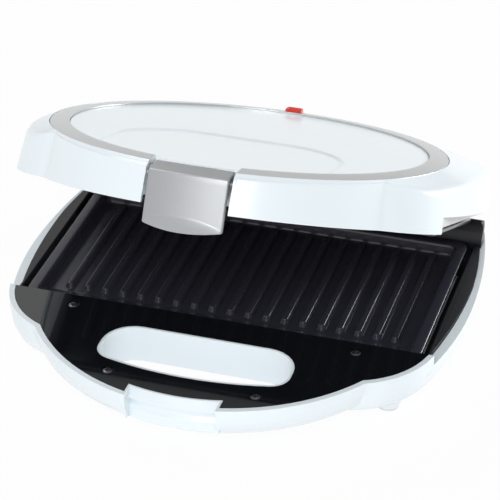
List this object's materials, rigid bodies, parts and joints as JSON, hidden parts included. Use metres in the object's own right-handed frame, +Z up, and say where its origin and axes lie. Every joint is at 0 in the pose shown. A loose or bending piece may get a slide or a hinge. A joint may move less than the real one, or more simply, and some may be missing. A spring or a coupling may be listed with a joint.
{
  "type": "sandwich toaster",
  "caption": "Countertop sandwich toaster with ribbed plates, a hinged lid with a silver ring, a front latch and a carrying opening.",
  "frame": {"origin": "bottom centre of the model's box at rest, on the surface that the feet stand on, in the mirror plane", "axes": "+X to the right seen from the front, +Y from the latch to the hinge, +Z up"},
  "size_m": [0.263, 0.2526, 0.1507],
  "materials": {
    "white_gloss": "high gloss white ABS",
    "gloss_black": "mirror gloss black",
    "satin_black": "satin black heat-resistant plastic",
    "nonstick": "non-stick coated aluminium die casting",
    "silver_trim": "satin silver lacquer",
    "latch_silver": "brushed silver",
    "light_grey": "light grey plastic",
    "steel": "zinc-plated steel",
    "reflector": "aluminised sheet",
    "ceramic": "glazed ceramic",
    "red_lens": "clear red",
    "lamp": "neon lamp glass",
    "rubber": "pale grey rubber"
  },
  "bodies": {
    "base": {"base_shell": "white_gloss", "front_deck": "gloss_black", "deck_screws": "steel", "base_frame": "satin_black", "hinge_housing": "satin_black", "lower_plate": "nonstick", "lower_plate_screws": "steel", "lower_element": "steel", "lower_reflector": "reflector", "thermostat": "steel", "thermal_fuse": "ceramic", "terminal_block": "ceramic", "bottom_cover": "white_gloss", "cover_screws": "steel", "foot_pads": "rubber", "hinge_pins": "steel", "cord_gland": "rubber"},
    "lid": {"lid_shell": "white_gloss", "trim_ring": "silver_trim", "top_panel": "white_gloss", "lid_frame": "light_grey", "lid_screws": "steel", "upper_plate": "nonstick", "upper_plate_screws": "steel", "upper_element": "steel", "upper_reflector": "reflector", "indicator_lens": "red_lens", "indicator_lamp": "lamp", "latch_pin": "steel", "latch_spring": "steel"},
    "latch": {"latch": "latch_silver"}
  },
  "joints": [
    {"name": "lid_hinge", "type": "hinge", "parent": "base", "child": "lid", "pos_m": [0, 0.10868, 0.0209], "axis": [-1, 0, 0], "range_deg": [-26.15, 74]},
    {"name": "latch_pivot", "type": "hinge", "parent": "lid", "child": "latch", "pos_m": [0, -0.08457, 0.14374], "axis": [-1, 0, 0], "range_deg": [-4.5, 12], "stiffness_Nm_per_rad": 0.3}
  ]
}
